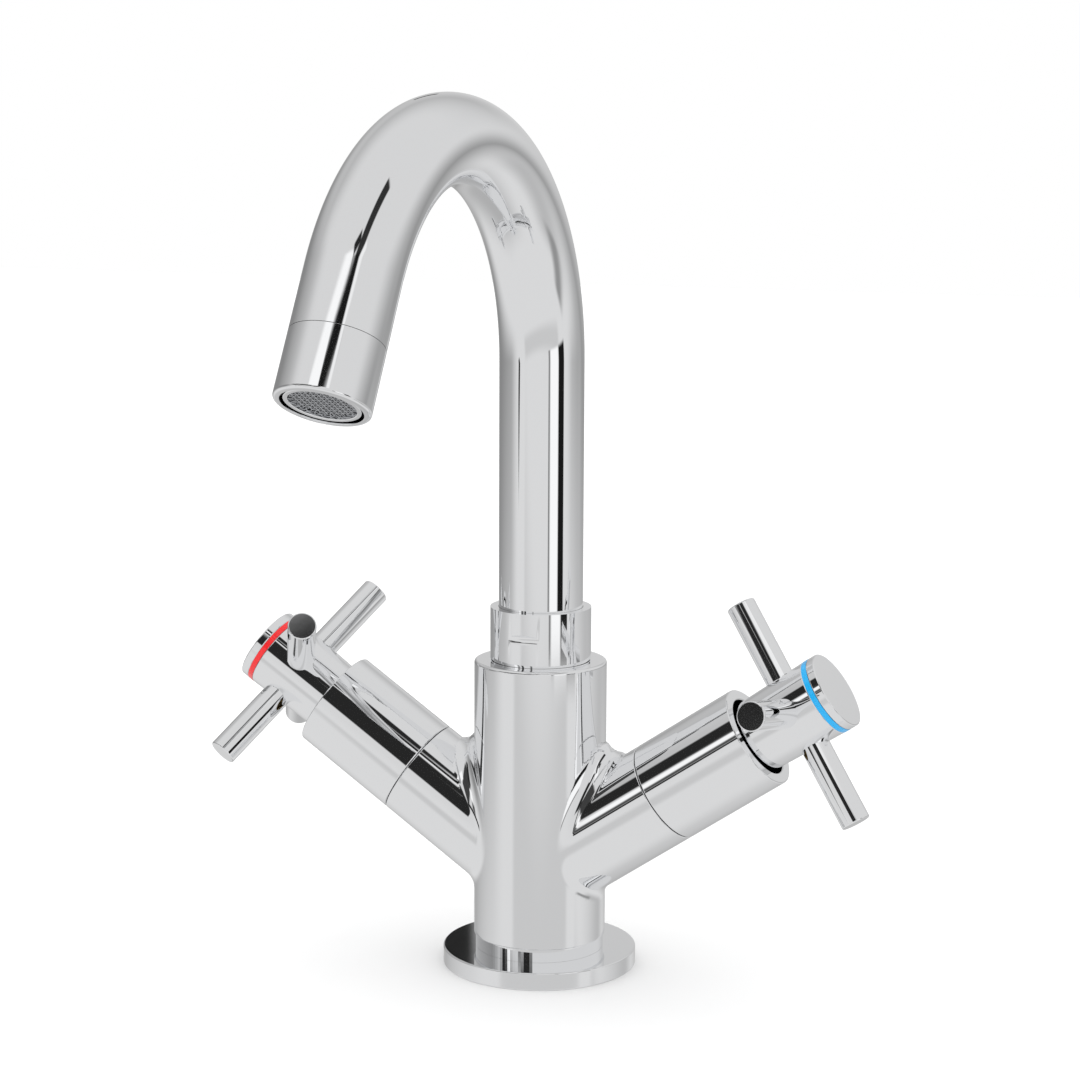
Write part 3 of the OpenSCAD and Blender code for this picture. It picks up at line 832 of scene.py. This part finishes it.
        # only the faces close to this axis are cut, so the other arm stays whole
        near = [f for f in bm.faces if beyond(f)]
        geom = list({e for f in near for e in f.edges}) + near + list({v for f in near for v in f.verts})
        made = bmesh.ops.bisect_plane(bm, geom=geom, dist=1e-8, plane_co=place @ Vector((0, 0, level)),
                                      plane_no=place.to_3x3() @ Vector((0, 0, way)), clear_outer=True)
        loop = [e for e in made["geom_cut"] if isinstance(e, bmesh.types.BMEdge)]
        for vert in {v for e in loop for v in e.verts}:
            self.set_out(vert, place, radius, level)
        for k in range(1, ROUND_STEPS + 1):
            lean = (cos(k * pi / 2 / ROUND_STEPS), way * sin(k * pi / 2 / ROUND_STEPS))
            loop = self.step(bm, loop, place, radius - rounding * (1 - lean[0]), level + rounding * lean[1],
                             lean=lean)
        loop = self.step(bm, loop, place, inner, end)
        self.step(bm, loop, place, inner, depth)

    def set_out(self, vert, place, radius, level):
        """Moves a point to a radius and level of a place. Gives its direction from the axis."""
        at = place.inverted() @ vert.co
        out = Vector((at.x, at.y, 0)).normalized()
        vert.co = place @ Vector((out.x * radius, out.y * radius, level))
        return out

    def step(self, bm, loop, place, radius, level, lean=None):
        """Carries the shell's edge on to a radius and level. Without a lean, the new strip is flat."""
        verts, rim, faces = extruded(bm, loop)
        tag = bm.faces.layers.int["flat"]
        for face in faces:
            face[tag] = 0 if lean else 1
            face.smooth = True
        for vert in verts:
            out = self.set_out(vert, place, radius, level)
            if lean:
                normal = Vector((out.x * lean[0], out.y * lean[0], lean[1]))
                self.round_normals[vert] = place.to_3x3() @ normal
        return rim

    def corner_normals(self, bm, flat):
        """The true surface's normal at each corner, so that reflections run on without facets."""
        bm.verts.index_update()
        bmesh.ops.recalc_face_normals(bm, faces=bm.faces)
        bm.normal_update()
        normals = [tuple(n) for n in self.surface(np.array([v.co for v in bm.verts]))[1]]
        for vert, normal in self.round_normals.items():
            normals[vert.index] = tuple(normal)
        corners = [(face, loop.vert.index) for face in bm.faces for loop in face.loops]
        return [tuple(face.normal) if face[flat] else normals[index] for face, index in corners]


class MIXER_OT_base(bpy.types.Operator):
    """Base flange and collar nut"""

    bl_idname = "mixer.base"
    bl_label = "Flange and collar"

    def execute(self, context):
        plating = get_material("Chrome plating", chrome)
        edge = context.scene.mixer_pieces.edge_radius
        flange = turned([(FLANGE_BORE_R, 0), (SEAL_BORE_R, 0), (SEAL_BORE_R, SEAL_H), (SEAL_R, SEAL_H),
                         (SEAL_R, 0), (FLANGE_R, 0), (FLANGE_R, FLANGE_TOP), (FLANGE_BORE_R, FLANGE_TOP)])
        add_piece("base_flange_shell", flange, Matrix.Identity(4), "base", plating,
                  "base_flange", edge=edge)
        collar = turned([(COLLAR_BORE_R, COLLAR_NECK_START), (COLLAR_NECK_R, COLLAR_NECK_START),
                         (COLLAR_NECK_R, COLLAR_FOOT), (COLLAR_R, COLLAR_FOOT), (COLLAR_R, COLLAR_TOP),
                         (COLLAR_BORE_R, COLLAR_TOP)])
        cutter = bar(NOTCH_R, 2 * COLLAR_R)
        cutter.transform(Matrix.Translation(NOTCH_AT) @ Matrix.Rotation(pi / 2, 4, "Y"))
        add_piece("collar_shell", carved(collar, cutter), Matrix.Identity(4), "base", plating,
                  "collar_nut", edge=COLLAR_EDGE)
        self.add_spigot()
        return {"FINISHED"}

    def add_spigot(self):
        """Foot of the column, with the tapped holes for the hoses and the fixing stud."""
        spigot = turned([(0, SPIGOT_FOOT), (SPIGOT_R, SPIGOT_FOOT), (SPIGOT_R, SPIGOT_TOP),
                         (0, SPIGOT_TOP)])
        holes = ((-INLET_AT, 0, INLET_R, INLET_DEPTH), (INLET_AT, 0, INLET_R, INLET_DEPTH),
                 (0, STUD_AT, STUD_R, STUD_DEPTH))
        for x, y, radius, depth in holes:
            drill = bar(radius, 2 * depth)
            drill.transform(Matrix.Translation((x, y, SPIGOT_FOOT)))
            spigot = carved(spigot, drill)
        add_piece("body_spigot", spigot, Matrix.Identity(4), "base",
                  get_material("Turned brass", brass), "body", edge=SPIGOT_EDGE)


class MIXER_OT_nozzle(bpy.types.Operator):
    """Nozzle housing and aerator"""

    bl_idname = "mixer.nozzle"
    bl_label = "Nozzle"

    def execute(self, context):
        plating = get_material("Chrome plating", chrome)
        angles = [k * pi / 2 / LIP_STEPS for k in range(LIP_STEPS + 1)]
        lip = [(TUBE_R - LIP_R + LIP_R * cos(a), NOZZLE_END - LIP_R + LIP_R * sin(a)) for a in angles]
        # a ring of points just before the lip keeps the shading of the long side straight
        side = [(NOZZLE_TAIL_R, NOZZLE_START), (TUBE_R, NOZZLE_START),
                (TUBE_R, NOZZLE_END - LIP_R - LIP_EASE)]
        bore = [(NOZZLE_BORE_R, NOZZLE_END), (NOZZLE_BORE_R, AERATOR_START), (NOZZLE_TAIL_R, AERATOR_START)]
        add_piece("nozzle_shell", turned(side + lip + bore), on_outlet(), "spout", plating,
                  "nozzle", edge=TUBE_EDGE)
        rim = turned([(AERATOR_BORE_R, AERATOR_START), (AERATOR_RIM_R, AERATOR_START),
                      (AERATOR_RIM_R, AERATOR_END), (AERATOR_BORE_R, AERATOR_END)])
        add_piece("aerator_rim", rim, on_outlet(), "spout", plating,
                  "aerator_ring", edge=AERATOR_EDGE)
        self.add_screen(context.scene.mixer_pieces)
        return {"FINISHED"}

    def add_screen(self, sizes):
        """Woven screen: two sets of wires that pass over and under each other."""
        bm = bmesh.new()
        pitch = sizes.wire_pitch
        count = int(AERATOR_BORE_R / pitch)
        for across in (0, 1):
            for k in range(-count, count + 1):
                self.weave(bm, k, across, pitch, sizes.wire_width / 2)
        bmesh.ops.recalc_face_normals(bm, faces=bm.faces)
        place = on_outlet() @ Matrix.Translation((0, 0, SCREEN_AT)) @ Matrix.Rotation(pi / 4, 4, "Z")
        add_piece("aerator_screen", bm, place, "spout", get_material("Drawn steel", steel),
                  "aerator_mesh", limit=60)

    def weave(self, bm, k, across, pitch, radius):
        """One wire of the screen, which waves by its own radius, up where its neighbours go down."""
        half = sqrt(max(0, (AERATOR_BORE_R - SCREEN_GAP) ** 2 - (k * pitch) ** 2))
        ring = bmesh.ops.create_circle(bm, cap_ends=True, segments=WIRE_SIDES, radius=radius)["verts"]
        bmesh.ops.rotate(bm, verts=ring, cent=(0, 0, 0), matrix=Matrix.Rotation(pi / 2, 3, "Y"))
        edges = list({e for v in ring for e in v.link_edges})
        turn = Matrix.Rotation(across * pi / 2, 3, "Z")
        steps = max(2, round(STEPS_PER_WIRE * half / pitch))

        def spot(n):
            """Middle of the wire after n steps."""
            u = -half + 2 * half * n / steps
            lift = radius * cos(pi * (u / pitch + k + across))
            return turn @ Vector((u, k * pitch, lift))

        bmesh.ops.rotate(bm, verts=ring, cent=(0, 0, 0), matrix=turn)
        bmesh.ops.translate(bm, verts=ring, vec=spot(0))
        for n in range(1, steps + 1):
            ring, edges, _ = extruded(bm, edges)
            bmesh.ops.translate(bm, verts=ring, vec=spot(n) - spot(n - 1))
        bmesh.ops.contextual_create(bm, geom=edges)


class MIXER_OT_handles(bpy.types.Operator):
    """Sleeves, hubs, spokes, coloured rings and end caps"""

    bl_idname = "mixer.handles"
    bl_label = "Sleeves and handles"

    def execute(self, context):
        plating = get_material("Chrome plating", chrome)
        edge = context.scene.mixer_pieces.edge_radius
        look = context.scene.mixer_finish
        colours = {"hot": ("Hot enamel", "hot_red", look.hot_colour),
                   "cold": ("Cold enamel", "cold_blue", look.cold_colour)}
        for side in SIDES:
            self.add_sleeve(side, plating, edge)
            self.add_hub(side, plating)
            for k in range(1, SPOKES + 1):
                self.add_spoke(side, k, plating, edge)
            self.add_ring(side, *colours[side])
            self.add_cap(side, plating, edge)
        return {"FINISHED"}

    def add_sleeve(self, side, plating, edge):
        sleeve = turned([(SLEEVE_BORE_R, SLEEVE_START), (ARM_R, SLEEVE_START), (ARM_R, SLEEVE_END),
                         (MOUTH_R, SLEEVE_END), (MOUTH_R, SLEEVE_END - MOUTH_DEPTH),
                         (SLEEVE_BORE_R, SLEEVE_END - MOUTH_DEPTH - MOUTH_CONE)])
        add_piece(side + "_sleeve_shell", sleeve, on_arm(side), "base", plating,
                  side + "_sleeve", edge=edge)

    def add_hub(self, side, plating):
        """Tapered hub, hollow where it turns in the sleeve's mouth."""
        inner = HUB_R_START - HUB_WALL
        hub = turned([(0, HUB_START + HUB_RECESS), (inner, HUB_START + HUB_RECESS), (inner, HUB_START),
                      (HUB_R_START, HUB_START), (HUB_R_END, HUB_END), (0, HUB_END)])
        add_piece(side + "_hub_shell", hub, on_handle(side), side + "_handle", plating,
                  side + "_hub", edge=HUB_EDGE)

    def add_spoke(self, side, k, plating, edge):
        spoke = turned([(0, SPOKE_SEAT), (SPOKE_R, SPOKE_SEAT), (SPOKE_R, SPOKE_END), (0, SPOKE_END)],
                       steps=SPOKE_STEPS)
        turn = Matrix.Rotation(k * 2 * pi / SPOKES, 4, "Z")
        outward = Matrix.Translation((0, 0, SPOKE_AT)) @ Matrix.Rotation(pi / 2, 4, "Y")
        add_piece(f"{side}_spoke_{k}_shell", spoke, on_handle(side) @ turn @ outward, side + "_handle",
                  plating, f"{side}_spoke_{k}", edge=edge)

    def add_ring(self, side, finish, slot, colour):
        ring = turned([(RING_BORE_R, HUB_END), (RING_R, HUB_END), (RING_R, RING_END),
                       (RING_BORE_R, RING_END)])
        band = add_piece(side + "_ring_enamel", ring, on_handle(side), side + "_handle",
                         self.enamel(finish, colour), side + "_index_ring", edge=RING_EDGE)
        band.visible_glossy = False

    def add_cap(self, side, plating, edge):
        cap = turned([(0, RING_END), (HUB_R_END, RING_END), (HUB_R_END, CAP_END), (0, CAP_END)])
        add_piece(side + "_cap_shell", cap, on_handle(side), side + "_handle", plating,
                  side + "_end_cap", edge=edge)

    def enamel(self, name, colour):
        """Stove enamel with a clear coat, a little worn by hands."""
        material, tree, shader, place = new_material(name)
        shader.inputs["Base Color"].default_value = (*colour, 1)
        shader.inputs["Coat Weight"].default_value = 0.6
        patina(tree, shader, place, scale=90, low=0.22, high=0.32)
        return material


class MIXER_OT_inside(bpy.types.Operator):
    """Finishes of the pieces inside the mixer, whose shapes are the CAD frame's own"""

    bl_idname = "mixer.inside"
    bl_label = "Inside pieces"

    def execute(self, context):
        finishes = (
            (brass, "Turned brass", ["spout_tail"], ["headwork", "spindle"]),
            (rubber, "Seal rubber", ["base_seal", "tail_seal_lower", "tail_seal_upper", "aerator_washer"],
             ["seat_seal", "spindle_seals"]),
            (ceramic, "Lapped ceramic", [], ["fixed_disc", "moving_disc"]),
            (acetal, "Moulded acetal", ["thrust_washer", "slip_ring"], ["headwork_washer"]),
            # the aerator's insert takes the acetal painted near black as the recess's shade
            (acetal_painted_with_shade, "Acetal painted with shade", ["aerator_insert"], []),
            (steel, "Drawn steel", [], ["spindle_clip", "handle_screw"]),
        )
        for maker, finish, single, sided in finishes:
            material = get_material(finish, maker)
            for name in single + [f"{side}_{part}" for side in SIDES for part in sided]:
                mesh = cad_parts[name].data
                mesh.materials.clear()
                mesh.materials.append(material)
        return {"FINISHED"}


class MIXER_PT_panel(bpy.types.Panel):
    """Lists the mixer's pieces and their settings"""

    bl_idname = "MIXER_PT_panel"
    bl_label = "Basin Mixer"
    bl_space_type = "VIEW_3D"
    bl_region_type = "UI"
    bl_category = "Basin Mixer"

    def draw(self, context):
        layout = self.layout
        for operator in OPERATORS:
            layout.operator(operator.bl_idname)
        for group in GROUPS:
            settings = getattr(context.scene, GROUPS[group])
            layout.label(text=group.__doc__)
            for name in group.__annotations__:
                layout.prop(settings, name)


OPERATORS = (MIXER_OT_studio, MIXER_OT_body, MIXER_OT_base, MIXER_OT_spout, MIXER_OT_nozzle,
             MIXER_OT_handles, MIXER_OT_inside)
GROUPS = {MixerPieces: "mixer_pieces", MixerFinish: "mixer_finish", MixerStudio: "mixer_studio"}
CLASSES = (*GROUPS, *OPERATORS, MIXER_PT_panel)


def register():
    for item in CLASSES:
        bpy.utils.register_class(item)
    for group, name in GROUPS.items():
        setattr(bpy.types.Scene, name, PointerProperty(type=group))


def unregister():
    for name in GROUPS.values():
        delattr(bpy.types.Scene, name)
    for item in reversed(CLASSES):
        bpy.utils.unregister_class(item)


def main():
    register()
    bpy.ops.mixer.studio()
    bpy.ops.mixer.body()
    bpy.ops.mixer.base()
    bpy.ops.mixer.spout()
    bpy.ops.mixer.nozzle()
    bpy.ops.mixer.handles()
    bpy.ops.mixer.inside()


if __name__ == "__main__":
    main()
